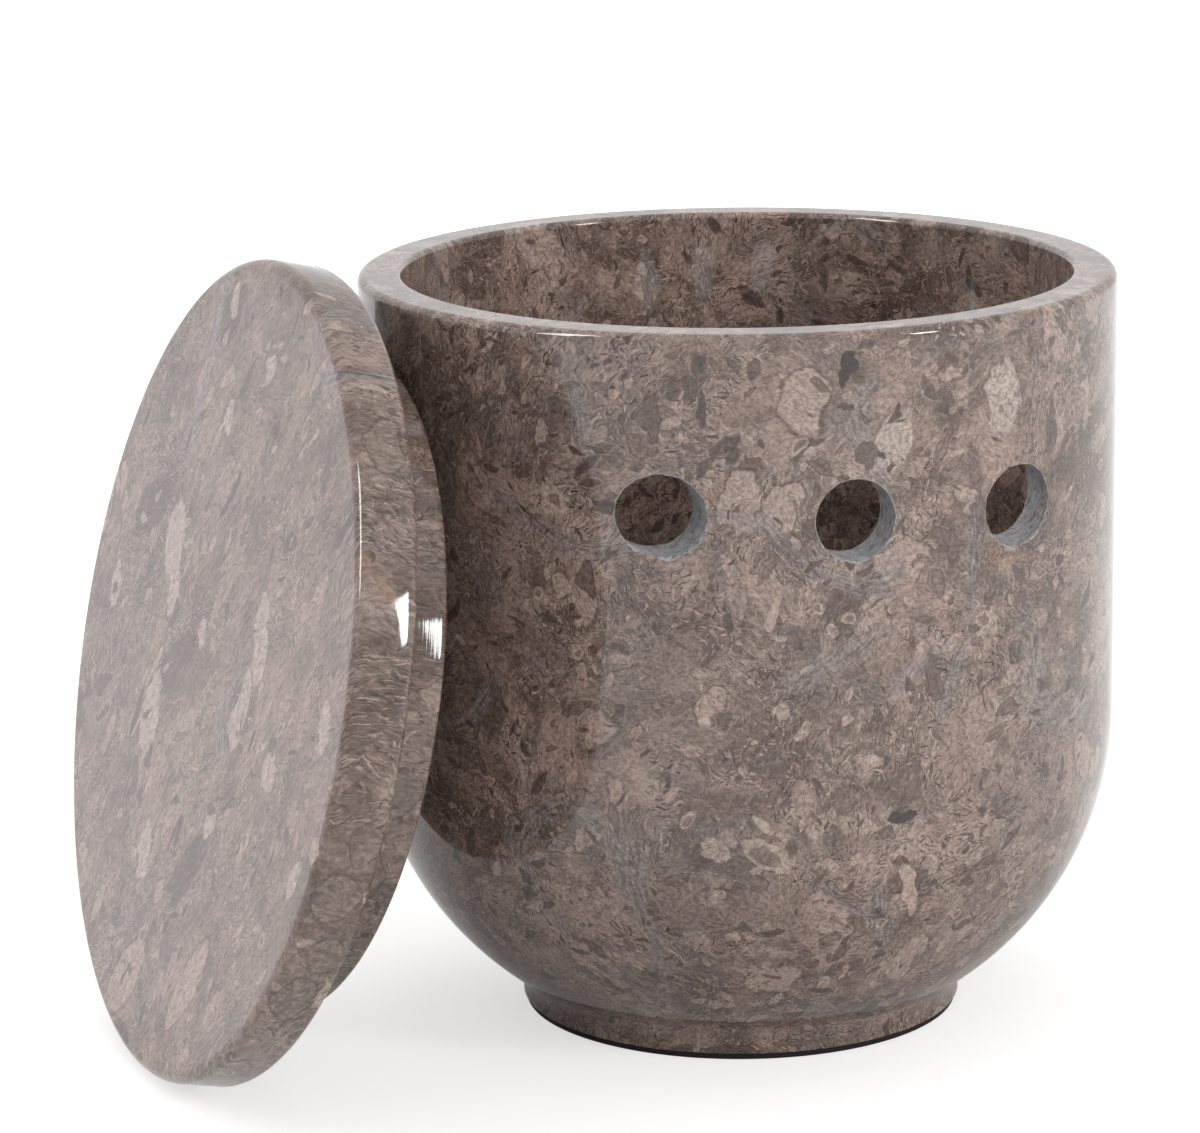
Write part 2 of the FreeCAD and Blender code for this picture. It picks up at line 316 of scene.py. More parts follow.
def make_softbox(name, azimuth, elevation, size, watts):
    """Add a rectangular lamp that is aimed at the jar."""
    data = bpy.data.lights.new(name, "AREA")
    data.shape = "RECTANGLE"
    data.size, data.size_y = (side * MM for side in size)
    data.energy = watts
    lamp = bpy.data.objects.new(name, data)
    away = toward(azimuth, elevation)
    lamp.location = (SOFTBOX_AIM + away * SOFTBOX_DISTANCE) * MM
    lamp.rotation_euler = away.to_track_quat("Z", "Y").to_euler()
    bpy.context.scene.collection.objects.link(lamp)
    return lamp


def make_surroundings():
    """Soft light from the glows, and plain white wherever the surroundings are seen."""
    world = bpy.data.worlds.new("studio")
    bpy.context.scene.world = world
    kit = Nodes(world)
    way = kit.add("ShaderNodeTexCoord").outputs["Generated"]
    light = EVEN_LIGHT
    for glow in GLOWS:
        share = kit.vector("DOT_PRODUCT", way, toward(glow.azimuth, glow.elevation))
        share = kit.math("POWER", kit.math("MAXIMUM", share, 0.0), glow.tightness)
        light = kit.math("MULTIPLY_ADD", share, glow.strength, light)
    seen = kit.seen_directly()
    strength = kit.math("MULTIPLY_ADD", seen, kit.math("SUBTRACT", 1.0, light), light)
    surroundings = kit.add("ShaderNodeBackground", Color=(1, 1, 1, 1), Strength=strength)
    kit.add("ShaderNodeOutputWorld", Surface=surroundings)


def floor_material():
    """Pale paper that fades to plain white away from the object.

    A veil of white is laid over it where it is seen, and a weaker one where it is mirrored.
    """
    kit = Nodes.of_material("floor")
    place = kit.position()
    speck = kit.noise(place, 40, detail=3)
    pale = kit.mix(speck, (0.76, 0.76, 0.76, 1), (0.79, 0.79, 0.79, 1))
    paint = kit.add("ShaderNodeBsdfPrincipled", {"Base Color": pale, "Roughness": 0.9})
    paint.inputs["Specular IOR Level"].default_value = 0.0
    distance = kit.vector("LENGTH", place)
    rays = kit.add("ShaderNodeLightPath").outputs
    seen = kit.total((kit.step(distance, 120, 800), 0.41), offset=0.59)
    mirrored = kit.total((kit.step(distance, 45, 150), 0.5), offset=0.12)
    mirrored_share = kit.math("MAXIMUM", rays["Is Glossy Ray"], rays["Is Transmission Ray"])
    glow = kit.math("ADD", kit.math("MULTIPLY", seen, rays["Is Camera Ray"]),
                    kit.math("MULTIPLY", mirrored, mirrored_share))
    veil = kit.add("ShaderNodeEmission", Color=(1, 1, 1, 1), Strength=glow)
    lit = kit.add("ShaderNodeAddShader", {0: paint, 1: veil})
    kit.add("ShaderNodeOutputMaterial", Surface=lit)
    return kit.owner


def make_studio():
    """White surroundings, two softboxes and a pale floor."""
    make_surroundings()
    make_softbox("key", 40, 19.5, (200, 310), 5.0)
    # The second one gives highlights alone.
    make_softbox("left", -76, 40, (250, 700), 9.0).visible_diffuse = False

    floor = Surface()
    floor.face([floor.add((x * FLOOR_REACH, y * FLOOR_REACH, 0), (0, 0, 1))
                for x, y in ((-1, -1), (1, -1), (1, 1), (-1, 1))])
    floor.make("floor", [floor_material()])


# ---------- stone

DARK, LIGHT = srgb(74, 62, 56), srgb(182, 165, 154)
BROWN_MUD, PALE_MUD, CLOT_MUD = srgb(104, 90, 82), srgb(167, 149, 139), srgb(178, 160, 149)
GREY_MUD = srgb(118, 111, 110)
BROWN_CLAST, PALE_CLAST = srgb(100, 86, 78), srgb(184, 166, 155)
SHEARED_DARK, SHEARED_LIGHT = srgb(100, 94, 95), srgb(160, 153, 154)
LEAF_DARK, LEAF_LIGHT, LEAF_SKIN = srgb(92, 81, 75), srgb(142, 126, 116), srgb(176, 159, 149)
SHELL_RING, SHELL_FILLING = srgb(186, 170, 158), srgb(118, 103, 95)

# How far apart bodies of each size lie. The fine ones lean the way their large neighbour does.
COARSE_SPACINGS = {"large": 13, "medium": 7.5, "small": 5}
FINE_SPACINGS = {"tiny": 2.8, "thin": 1.35, "fine": 0.75}

# What the bodies hold: clasts, pale above a bound of their shade and else brown; plates of
# shell, which curve; and leaf-shaped grains. A share is that of the bodies that hold one, and a
# thickness counts from the middle plane.
Clast = namedtuple("Clast", "size radius thickness share pale_above is_round")
Plate = namedtuple("Plate", "size radius thickness curve strength")
Leaf = namedtuple("Leaf", "size radius thickness share")
CLASTS = (
    Clast("large", 5.8, 3.2, 0.34, 0.35, True),
    Clast("small", 2.7, 1.2, 0.33, 0.3, False),
    Clast("tiny", 1.5, 0.7, 0.22, 0.2, False),
)
PLATES = (
    Plate("fine", 0.6, 0.07, 0.05, 0.95),
    Plate("thin", 1.1, 0.08, 0.14, 0.92),
    Plate("tiny", 2.3, 0.11, 0.35, 0.68),
)
LEAVES = (
    Leaf("medium", 3.1, 0.95, 0.4),
    Leaf("small", 2.0, 0.65, 0.5),
    Leaf("tiny", 1.1, 0.3, 0.6),
)

# What inclusions are made of: the fill and how solid it is, then how dark the line round them
# is and how soft their edge.
Matter = namedtuple("Matter", "fill solid line soft")
UNDER_HASH = {
    # The dark matter is painted shade: soft dark patches laid on the jar's left side and foot,
    # where the lid shades them.
    "dark": Matter(srgb(80, 71, 67), 0.5, 0.0, 0.5),
    "calm": Matter(srgb(150, 133, 123), 0.5, 0.1, 0.1),
    "clast": Matter(srgb(150, 135, 126), 0.6, 0.6, 0.0),
    "mud": Matter(srgb(184, 166, 155), 0.85, 0.6, 0.0),
    "pale": Matter(srgb(190, 177, 169), 0.85, 0.1, 0.03),
    "haze": Matter(srgb(156, 142, 137), 0.4, 0.0, 0.4),
    "brown": Matter(srgb(84, 66, 54), 0.55, 0.0, 0.4),
}
OVER_HASH = {
    "grain": Matter(srgb(118, 104, 97), 0.8, 0.7, 0.0),
    "black": Matter(srgb(70, 61, 60), 0.9, 0.9, 0.0),
    "cream": Matter(srgb(188, 171, 160), 0.85, 0.2, 0.0),
    "rust": Matter(srgb(150, 108, 82), 0.4, 0.0, 0.5),
    "ochre": Matter(srgb(176, 146, 116), 0.4, 0.0, 0.4),
}
KEEP_HASH_BACK = ("calm", "clast", "mud", "pale")

# A placed inclusion: its kind, the matrix that places it and its radii. Besides the kinds above
# there are veins and shells.
Inclusion = namedtuple("Inclusion", "kind place radii")


class Stone:
    """Fossil limestone, solid all through: mud with clasts, shell hash, grains and veins.

    Each layer goes over the ones before it. The bedding is turned to the piece and drawn out
    along its own axes. The variety says how far patches, clasts and hash differ from the mud.
    """

    def __init__(self, name, turn, stretch, variety, inclusions):
        kit = self.kit = Nodes.of_material(name)
        self.variety = variety
        self.inclusions = inclusions

        # The point in the bedding, bent more and more finely, and bent so in the piece's frame.
        self.here = kit.position()
        self.rock = kit.add("ShaderNodeMapping", {"Vector": self.here},
                            {"vector_type": "TEXTURE"}, Rotation=turn, Scale=stretch).outputs[0]
        bent = kit.sway(self.rock, 30, 5, 1)
        self.curled = kit.sway(bent, 4, 1.0, 1)
        self.ragged = kit.sway(self.curled, 1.2, 0.4, 1)
        frayed = kit.vector("ADD", kit.vector("SCALE", self.curled, scale=0.75),
                            kit.vector("SCALE", self.ragged, scale=0.25))
        self.eased = kit.vector("ADD", self.here, kit.vector("SUBTRACT", self.curled, bent))
        self.torn = kit.vector("ADD", self.eased, kit.vector("SUBTRACT", self.ragged, bent))

        self.bodies = {size: kit.bodies(self.ragged, spacing)
                       for size, spacing in COARSE_SPACINGS.items()}
        lot = self.bodies["large"].lot
        lean = kit.vector("SCALE", kit.vector("SUBTRACT", lot, (0.5, 0.5, 0.5)), scale=1.6)
        for size, spacing in FINE_SPACINGS.items():
            self.bodies[size] = kit.bodies(frayed, spacing, lean)
        self.region = kit.noise(self.rock, 26, 1)

        # The colour so far, and where the layers so far keep the shell hash back.
        self.colour = BROWN_MUD
        self.calmed = 0.0

    def cover(self, where, colour, depth=None):
        """Lay a colour over what is there, at its full or a lesser depth."""
        share = where if depth is None else self.kit.math("MULTIPLY", where, depth)
        self.colour = self.kit.mix(share, self.colour, colour)

    def multiply(self, colour):
        self.colour = self.kit.mix(1.0, self.colour, colour, blend="MULTIPLY")

    def within(self, value, low, high, chosen):
        """A step of the value that holds only where its body is chosen."""
        return self.kit.math("MULTIPLY", self.kit.step(value, low, high), chosen)

    def set_in(self, reach, chosen, matter, keeps_hash_back):
        """Add a body, which ends where the reach is 1, with a line round it."""
        inside = self.within(reach, 1.02 + matter.soft, 0.9 - matter.soft, chosen)
        if matter.line:
            self.cover(self.within(reach, 1.14, 1.02, chosen), DARK, matter.line)
        self.cover(inside, matter.fill, matter.solid)
        if keeps_hash_back:
            self.calmed = self.kit.math("MAXIMUM", self.calmed, inside)

    def reach_of(self, inclusion):
        """0 in the middle and 1 at the surface of a placed inclusion."""
        local = self.kit.placed(self.torn, inclusion.place, inclusion.radii)
        return self.kit.vector("LENGTH", local)

    def set_in_placed(self, matters):
        """Add the placed inclusions of these kinds."""
        for inclusion in self.inclusions:
            if inclusion.kind in matters:
                self.set_in(self.reach_of(inclusion), 1.0, matters[inclusion.kind],
                            inclusion.kind in KEEP_HASH_BACK)

    def lay_mud(self):
        """Mud in patches, each with its own shade, and some of them grey."""
        kit = self.kit
        shade, grey, _ = kit.channels(self.bodies["large"].lot)
        small_shade, _, _ = kit.channels(self.bodies["small"].lot)
        cloud = kit.noise(self.curled, 7, 4, 0.62)
        tone = kit.total((shade, 0.15), (small_shade, 0.14), (cloud, 1.0), (self.region, 0.3),
                         offset=-0.29)
        spread = 0.22 / self.variety
        self.cover(kit.step(tone, 0.5 - spread, 0.5 + spread), PALE_MUD)
        self.cover(kit.step(grey, 0.66, 0.76), GREY_MUD, 0.35 * self.variety)

    def add_clots(self):
        """Pale clots of even mud, which hold little hash."""
        kit = self.kit
        elsewhere = kit.vector("ADD", self.ragged, (31, 0, 0))
        clot = kit.step(kit.noise(elsewhere, 6, 2, 0.5), 0.625, 0.645)
        self.calmed = kit.math("MULTIPLY", clot, 0.55)
        self.cover(self.calmed, CLOT_MUD)

    def add_clasts(self):
        """Clasts and pebbles with torn edges, paler or browner than the mud."""
        kit = self.kit
        for clast in CLASTS:
            bodies = self.bodies[clast.size]
            shape = kit.pebble if clast.is_round else kit.lens
            reach = shape(*kit.sized(bodies, clast.radius, clast.thickness, 0.4))
            chosen = kit.math("LESS_THAN", bodies.pick, clast.share * self.variety)
            shade = kit.channels(bodies.lot)[2]
            is_pale = kit.step(shade, clast.pale_above, clast.pale_above + 0.1)
            fill = kit.mix(is_pale, BROWN_CLAST, PALE_CLAST)
            self.set_in(reach, chosen, Matter(fill, 0.8, 0.4, 0.0), keeps_hash_back=True)

    def add_hash(self):
        """Shell hash: thin curved plates cut through, dark or light, with a skin on one side."""
        kit = self.kit
        calm = kit.channels(self.bodies["large"].lot)[2]
        small_calm = kit.channels(self.bodies["small"].lot)[1]
        calm = kit.math("MAXIMUM", kit.step(calm, 0.6, 0.9), kit.step(small_calm, 0.55, 0.85))
        calm = kit.math("MAXIMUM", calm, kit.math("MULTIPLY", self.calmed, 0.85))
        depth = 0.4 + 0.6 * self.variety
        for plate in PLATES:
            bodies = self.bodies[plate.size]
            height, out = kit.sized(bodies, plate.radius, plate.thickness, plate.curve)
            pick, vigour, _ = kit.channels(bodies.lot)
            strength = kit.math("MULTIPLY_ADD", calm, -0.7 * plate.strength, plate.strength)
            strength = kit.math("MULTIPLY", strength, kit.step(out, 1.0, 0.7))
            vigour = kit.math("MULTIPLY_ADD", vigour, 0.9, 0.4)
            strength = kit.math("MULTIPLY", strength, kit.math("MULTIPLY", vigour, depth))
            core = self.within(kit.math("ABSOLUTE", height), 1.4, 0.6, strength)
            off_skin = kit.math("ABSOLUTE", kit.math("SUBTRACT", height, 2.2))
            skin = self.within(off_skin, 1.2, 0.5, strength)
            is_light = kit.step(pick, 0.62, 0.66)
            self.cover(skin, kit.mix(is_light, LIGHT, DARK), 0.35)
            self.cover(core, kit.mix(is_light, DARK, LIGHT))

    def add_ribbons(self):
        """Ribbons and placed veins of sheared, bluish grey mud, streaked along their run."""
        kit = self.kit
        sheet = kit.noise(self.rock, 60, 1)
        off = kit.math("ABSOLUTE", kit.math("SUBTRACT", sheet, 0.52))
        edge = kit.noise(self.ragged, 3, 2)
        ribbon = self.within(kit.math("MULTIPLY_ADD", edge, 0.03, off), 0.033, 0.019,
                             kit.step(self.region, 0.48, 0.56))
        across = kit.math("MULTIPLY", sheet, 350)
        for kind, place, radii in self.inclusions:
            if kind != "vein":
                continue
            local = kit.placed(self.eased, place, radii)
            there = kit.step(kit.vector("LENGTH", local), 1.2, 0.5)
            ribbon = kit.math("MAXIMUM", ribbon, there)
            aside = kit.math("MULTIPLY", kit.channels(local)[0], radii[0] / 0.45)
            change = kit.math("SUBTRACT", aside, across)
            across = kit.math("MULTIPLY_ADD", change, kit.math("GREATER_THAN", there, 0.0), across)
        streaks = kit.vector("ADD", kit.vector("SCALE", self.curled, scale=1 / 3),
                             kit.add("ShaderNodeCombineXYZ", X=across).outputs[0])
        streaks = kit.step(kit.noise(streaks, 1, 2, 0.6), 0.36, 0.62)
        self.cover(ribbon, kit.mix(streaks, SHEARED_DARK, SHEARED_LIGHT), 0.58)

    def add_leaves(self, grains):
        """Leaf-shaped grains with a dark line round them, a dark rib and a pale skin."""
        kit = self.kit
        for leaf in LEAVES:
            bodies = self.bodies[leaf.size]
            height, out = kit.sized(bodies, leaf.radius, leaf.thickness, 0.3)
            chosen = kit.math("GREATER_THAN", bodies.pick, 1 - leaf.share * grains)
            reach = kit.lens(height, out)
            rib = kit.step(kit.math("ABSOLUTE", kit.math("ADD", height, 0.15)), 0.22, 0.1)
            shade = kit.step(kit.channels(bodies.lot)[1], 0.2, 0.8)
            fill = kit.mix(kit.math("MULTIPLY", rib, 0.4), kit.mix(shade, LEAF_DARK, LEAF_LIGHT),
                           DARK)
            self.cover(self.within(reach, 1.45, 1.15, chosen), LEAF_SKIN, 0.3)
            self.cover(self.within(reach, 1.15, 0.98, chosen), DARK, 0.65)
            self.cover(self.within(reach, 0.88, 0.66, chosen), fill, 0.85)

    def add_shells(self):
        """Small shells cut through: pale rings with a brown filling."""
        kit = self.kit
        bodies = self.bodies["medium"]
        shells = [(kit.pebble(*kit.sized(bodies, 1.5, 1.1)),
                   kit.math("LESS_THAN", bodies.pick, 0.25))]
        shells += [(self.reach_of(inclusion), 1.0) for inclusion in self.inclusions
                   if inclusion.kind == "shell"]
        for reach, chosen in shells:
            self.cover(self.within(reach, 1.0, 0.85, chosen), SHELL_RING, 0.7)
            self.cover(self.within(reach, 0.62, 0.5, chosen), SHELL_FILLING, 0.8)

    def add_fine_grain(self):
        """Fine grain over everything."""
        kit = self.kit
        grain = kit.step(kit.noise(self.ragged, 0.7, 4, 0.75), 0.25, 0.75)
        self.multiply(kit.mix(grain, (0.48, 0.47, 0.46, 1.0), (1.5, 1.5, 1.51, 1.0)))

    def polish(self, marks):
        """A polish that the grains take a little unevenly, over slight waves and tool marks."""
        kit = self.kit
        roughness = kit.math("MULTIPLY_ADD", kit.noise(self.ragged, 1.8, 3, 0.6), 0.16, -0.02)
        relief = kit.noise(self.here, 9, 1)
        if marks:
            relief = kit.math("ADD", relief, marks(kit))
        return kit.close_material(self.colour, roughness, relief, depth=0.06)


def make_stone(name, tint, turn=(0, 0, 0), stretch=(1, 1, 1), variety=1.0, grains=1.0,
               marks=None, inclusions=()):
    """The stone of one piece.

    The tint is a call that gives the colour to multiply by, on the lid's plug a painted shade;
    the grains are the share of dark grains, and the marks a call that gives the height of tool
    marks.
    """
    stone = Stone(name, turn, stretch, variety, inclusions)
    stone.lay_mud()
    stone.add_clots()
    stone.add_clasts()
    stone.set_in_placed(UNDER_HASH)
    stone.add_hash()
    stone.add_ribbons()
    stone.add_leaves(grains)
    stone.set_in_placed(OVER_HASH)
    stone.add_shells()
    stone.add_fine_grain()
    stone.multiply(tint(stone.kit))
    return stone.polish(marks)


# ---------- what each stone holds

def on_jar(azimuth, height, tilt):
    """A place on the jar's wall: Z runs up it but tilted to the right, and Y runs inwards."""
    below = max(0.0, SHOULDER_HEIGHT - height)
    radius = JAR_RADIUS - below ** 2 / (2 * bowl_radius())
    spot = toward(azimuth, 0) * radius + Vector((0, 0, height))
    turn = Matrix.Rotation(math.radians(azimuth), 4, "Z")
    return Matrix.Translation(spot) @ turn @ Matrix.Rotation(math.radians(tilt), 4, "Y")


# The ones that stand out, by kind: azimuth, height, half length, half width and tilt.
JAR_INCLUSIONS = {
    # The dark ones are painted shade, laid on the jar's left side and on its foot where the lid
    # shades them.
    "dark": ((-78, 84, 46, 24, 0), (-62, 8, 12, 18, 0)),
    "calm": ((5.8, 113.7, 11.0, 6.8, -9), (-22.8, 124.3, 4.4, 7.0, 11),
             (-16.7, 100.2, 4.1, 3.9, 11), (26.4, 117.1, 7.4, 4.6, -5),
             (-23.2, 64.6, 5.7, 8.8, -8), (-26.8, 74.3, 6.4, 4.7, 49),
             (-11.6, 31.2, 8.9, 7.3, -18), (-28.4, 33.7, 6.0, 8.9, -38),
             (18.6, 58.0, 7.4, 6.3, 15), (5.1, 74.7, 6.1, 4.2, -16)),
    "mud": ((-7.7, 116.3, 5.8, 4.0, 11), (-16.7, 100.4, 5.4, 3.7, 10),
            (-10.7, 99.7, 4.3, 3.2, 17), (-43.3, 86.2, 2.4, 2.0, 9),
            (-21.1, 67.8, 3.1, 1.9, 31)),
    "pale": ((24.8, 113.9, 5.8, 3.8, 6), (5.5, 109.0, 5.5, 3.5, 25)),
    "vein": ((-39.9, 113.9, 11.0, 2.1, -11), (19.1, 89.5, 11.8, 1.5, 2),
             (15.3, 68.9, 10.1, 1.8, 22), (-3.3, 74.7, 12.3, 2.2, 62),
             (5.7, 30.8, 9.9, 3.2, -21), (-33.0, 38.0, 12.0, 4.0, -12)),
    "grain": ((-29.3, 113.6, 3.6, 1.6, 3), (-39.0, 87.7, 2.8, 1.5, 4),
              (1.8, 107.6, 2.4, 1.9, -18), (13.5, 92.8, 2.4, 1.0, -28),
              (15.6, 90.1, 1.8, 0.9, 9), (12.2, 69.7, 4.2, 1.3, -8)),
    "black": ((-1.5, 121.4, 3.0, 1.0, 19), (7.0, 48.4, 1.9, 1.0, -80)),
    "cream": ((-12.1, 82.4, 3.3, 1.3, 8), (9.6, 34.4, 8.3, 1.5, -15),
              (-13.8, 48.3, 1.9, 1.0, -46)),
    "shell": ((-13.3, 43.1, 4.8, 2.2, -50), (-43.8, 99.3, 3.3, 2.2, -34),
              (-7.7, 109.2, 1.3, 1.2, 0), (20.6, 78.4, 1.5, 1.3, 35)),
    "rust": ((22.6, 88.2, 1.9, 1.4, 22),),
    "ochre": ((25.3, 86.8, 1.8, 1.2, -14),),
}

# Pale blobs on the top of the lid's disc: x, y, half length, half width and turn.
LID_BLOBS = (
    (-15.8, -25.5, 7.2, 5.0, 2), (-10.5, 23.8, 8.1, 3.2, 14), (13.4, -22.6, 8.0, 4.6, -8),
    (1.7, 20.5, 7.7, 3.0, -10), (7.9, 37.8, 3.9, 3.2, 3), (-7.9, -22.0, 4.6, 3.0, -2),
    (-51.3, 5.5, 4.2, 2.2, -10), (-4.4, 58.1, 4.5, 2.8, -5), (-39.7, -9.5, 3.3, 2.4, 5),
    (-5.4, -4.6, 3.4, 2.1, 1), (-2.5, -52.3, 4.4, 3.0, 3), (20.1, 56.9, 3.8, 2.2, -21),
    (34.5, -13.6, 5.3, 3.4, -3), (21.6, 15.5, 3.6, 2.3, -10), (-58.6, -16.6, 3.4, 2.0, -4),
)

# Clasts, stains and darker brown patches on the lid's rim and the plug's wall: kind, the wall's
# radius, angle, height, half length along the wall and half height.
LID_STAINS = (
    ("clast", LID_RADIUS, 86, 6.5, 3.0, 2.4), ("clast", LID_RADIUS, 80, 3.0, 3.4, 2.6),
    ("clast", LID_RADIUS, 72, 5.5, 4.6, 3.6), ("clast", LID_RADIUS, 63, 3.5, 3.4, 2.8),
    ("clast", LID_RADIUS, 54, 6.0, 5.4, 3.6), ("clast", LID_RADIUS, 134, 5.0, 5.0, 3.2),
    ("clast", PLUG_RADIUS, 84, -5.5, 3.8, 3.2), ("clast", PLUG_RADIUS, 68, -4.0, 5.0, 2.8),
    # The brown ones darken the rim and the plug's wall on the lid's front.
    ("brown", LID_RADIUS, 103, 5.0, 8.0, 6.0), ("brown", LID_RADIUS, 94, 5.5, 8.0, 6.0),
    ("brown", LID_RADIUS, 113, 2.5, 3.5, 2.0), ("brown", LID_RADIUS, 85, 6.0, 6.0, 4.5),
    ("haze", LID_RADIUS, 121, 6.0, 5.0, 3.2), ("haze", LID_RADIUS, 111, 7.7, 3.2, 2.4),
    ("haze", PLUG_RADIUS, 125, -6.5, 7.0, 4.0), ("brown", PLUG_RADIUS, 112, -6.0, 7.0, 4.5),
    ("ochre", LID_RADIUS, 117, 9.6, 2.2, 1.3), ("rust", LID_RADIUS, 113.5, 6.2, 1.1, 1.3),
)


def jar_inclusions():
    for kind, rows in JAR_INCLUSIONS.items():
        for azimuth, height, half_length, half_width, tilt in rows:
            depth = max(3.0, half_width ** 2 / 40)
            yield Inclusion(kind, on_jar(azimuth, height, tilt), (half_width, depth, half_length))


def lid_inclusions():
    for x, y, half_length, half_width, turn in LID_BLOBS:
        place = Matrix.Translation((x, y, LID_THICKNESS))
        place @= Matrix.Rotation(math.radians(turn), 4, "Z")
        yield Inclusion("pale", lid_place() @ place, (half_length, half_width, 2.0))
    for kind, radius, angle, height, half_along, half_up in LID_STAINS:
        turned = Matrix.Rotation(math.radians(angle), 4, "Z")
        place = turned @ Matrix.Translation((radius, 0, height))
        yield Inclusion(kind, lid_place() @ place, (3.0, half_along, half_up))


def jar_tint(kit):
    return (1.04, 0.99, 0.96, 1.0)


def in_lid(kit):
    """The distance from the lid's axis and the height over the disc's underside."""
    place = kit.placed(kit.position(), lid_place(), (1, 1, 1))
    x, y, z = kit.add("ShaderNodeSeparateXYZ", Vector=place).outputs
    return kit.math("SQRT", kit.total_squares(x, y)), z


def lid_tint_and_plug_shade(kit):
    """Mauve grey, browner on the rim, and darker and browner still on the plug: painted shade
    where the plug's wall sits in the gap by the jar.
    """
    radius, z = in_lid(kit)
    colour = kit.mix(kit.step(radius, LID_RADIUS - 1.2, LID_RADIUS - 0.3),
                     (1.06, 0.95, 0.985, 1.0), (1.0, 0.965, 0.925, 1.0))
    # The plug's wall is darkened here as painted shade.
    return kit.mix(kit.step(z, 0.5, -0.5), colour, (0.75, 0.71, 0.675, 1.0))


def turning_marks(kit):
    """Fine rings that turning left on the wall of the plug."""
    radius, z = in_lid(kit)
    rings = kit.noise(kit.add("ShaderNodeCombineXYZ", Z=z), 0.5, 2)
    there = kit.math("MULTIPLY", kit.step(radius, PLUG_RADIUS + 0.5, PLUG_RADIUS),
                     kit.step(z, -PLUG_DEPTH, PLUG_EDGE_ROUND - PLUG_DEPTH))
    return kit.math("MULTIPLY", kit.math("MULTIPLY", rings, there), 0.25)


# ---------- other finishes

def drilled_stone():
    """The rough wall of a vent: pale bluish grey, ground by the drill, with bare brown spots."""
    kit = Nodes.of_material("drilled_stone")
    place = kit.position()
    rings = kit.noise(kit.vector("MULTIPLY", place, (1 / 1.1, 1 / 0.3, 1 / 1.1)), 1, 4, 0.7)
    colour = kit.mix(kit.step(rings, 0.35, 0.65), srgb(136, 133, 134), srgb(206, 206, 210))
    bare = kit.step(kit.noise(place, 1.6, 5, 0.75), 0.5, 0.62)
    colour = kit.mix(kit.math("MULTIPLY", bare, 0.75), colour, srgb(120, 108, 102))
    rough = kit.math("MULTIPLY_ADD", rings, 0.3, 0.6)
    return kit.close_material(colour, rough, rings, depth=0.2)


def pad_rubber():
    """Matt black sheet."""
    kit = Nodes.of_material("pad_rubber")
    grain = kit.noise(kit.position(), 0.5, 3)
    colour = kit.mix(grain, srgb(14, 13, 13), srgb(30, 28, 28))
    rough = kit.math("MULTIPLY_ADD", grain, 0.2, 0.75)
    return kit.close_material(colour, rough, grain, depth=0.1, strength=0.5)


# ---------- meshes

class Surface:
    """Points in millimetres with their own normals, and faces with a finish."""

    def __init__(self):
        self.points = []
        self.normals = []
        self.faces = []
        self.finishes = []

    def add(self, point, normal):
        self.points.append(Vector(point))
        self.normals.append(Vector(normal).normalized())
        return len(self.points) - 1

    def face(self, corners, finish=POLISHED):
        self.faces.append(corners)
        self.finishes.append(finish)

    def band(self, first, second, finish=POLISHED):
        """Faces between two closed loops of as many points."""
        for (a, b), (d, c) in zip(around(first), around(second)):
            self.face((a, b, c, d), finish)

    def make(self, name, materials, place=Matrix.Identity(4)):
        turn = place.to_3x3()
        mesh = bpy.data.meshes.new(name)
        points = [place @ point * MM for point in self.points]
        mesh.from_pydata(points, [], self.faces)
        for material in materials:
            mesh.materials.append(material)
        mesh.polygons.foreach_set("material_index", self.finishes)
        mesh.polygons.foreach_set("use_smooth", [True] * len(self.faces))
        mesh.update()
        mesh.normals_split_custom_set_from_vertices([turn @ normal for normal in self.normals])
        piece = bpy.data.objects.new(name, mesh)
        bpy.context.scene.collection.objects.link(piece)
        return piece


def around(loop):
    """The neighbouring pairs of a closed loop."""
    return pairwise([*loop, loop[0]])


def run(start, end, steps):
    """Points of a straight stretch of outline with its right-hand normal, without its end."""
    (r0, z0), (r1, z1) = start, end
    normal = (z1 - z0, r0 - r1)
    shares = (k / steps for k in range(steps))
    return [((r0 + (r1 - r0) * t, z0 + (z1 - z0) * t), normal) for t in shares]


def bend(centre, radius, start, end, steps):
    """Points of a round stretch of outline, in degrees, without its end.

    A stretch that turns clockwise is hollow, so its normal points to its centre.
    """
    side = 1 if end > start else -1
    points = []
    for k in range(steps):
        angle = math.radians(start + (end - start) * k / steps)
        out = (math.cos(angle), math.sin(angle))
        point = (centre[0] + radius * out[0], centre[1] + radius * out[1])
        points.append((point, (side * out[0], side * out[1])))
    return points


def on_axis(height):
    """The last point of an outline that ends on the axis, facing up."""
    return [((0, height), (0, 1))]


def even_turns(count):
    return [math.tau * k / count for k in range(count)]


def lathe(surface, outline, turns_at, skip=lambda row, column: False):
    """Turn an outline about the axis and return the function (row, column) -> point number.

    turns_at(row) gives the azimuths of a row's points. Rows on the axis are one point.
    """
    made = {}

    def point(row, column):
        (radius, height), (out, up) = outline[row]
        column %= len(turns_at(row))
        key = (row, column) if radius else (row, 0)
        if key not in made:
            sine, cosine = math.sin(turns_at(row)[column]), math.cos(turns_at(row)[column])
            made[key] = surface.add((radius * sine, -radius * cosine, height),
                                    (out * sine, -out * cosine, up))
        return made[key]

    for row in range(len(outline) - 1):
        for column in range(len(turns_at(row))):
            if skip(row, column):
                continue
            corners = [point(row, column), point(row, column + 1),
                       point(row + 1, column + 1), point(row + 1, column)]
            surface.face(list(dict.fromkeys(corners)))
    return point


# ---------- jar

def bowl_radius():
    """The radius of the round between the foot's cove and the straight wall."""
    across = JAR_RADIUS - FOOT_RADIUS - FOOT_COVE
    rise = SHOULDER_HEIGHT - PAD_THICKNESS - FOOT_LAND
    return (across ** 2 + rise ** 2 - FOOT_COVE ** 2) / (2 * (across + FOOT_COVE))


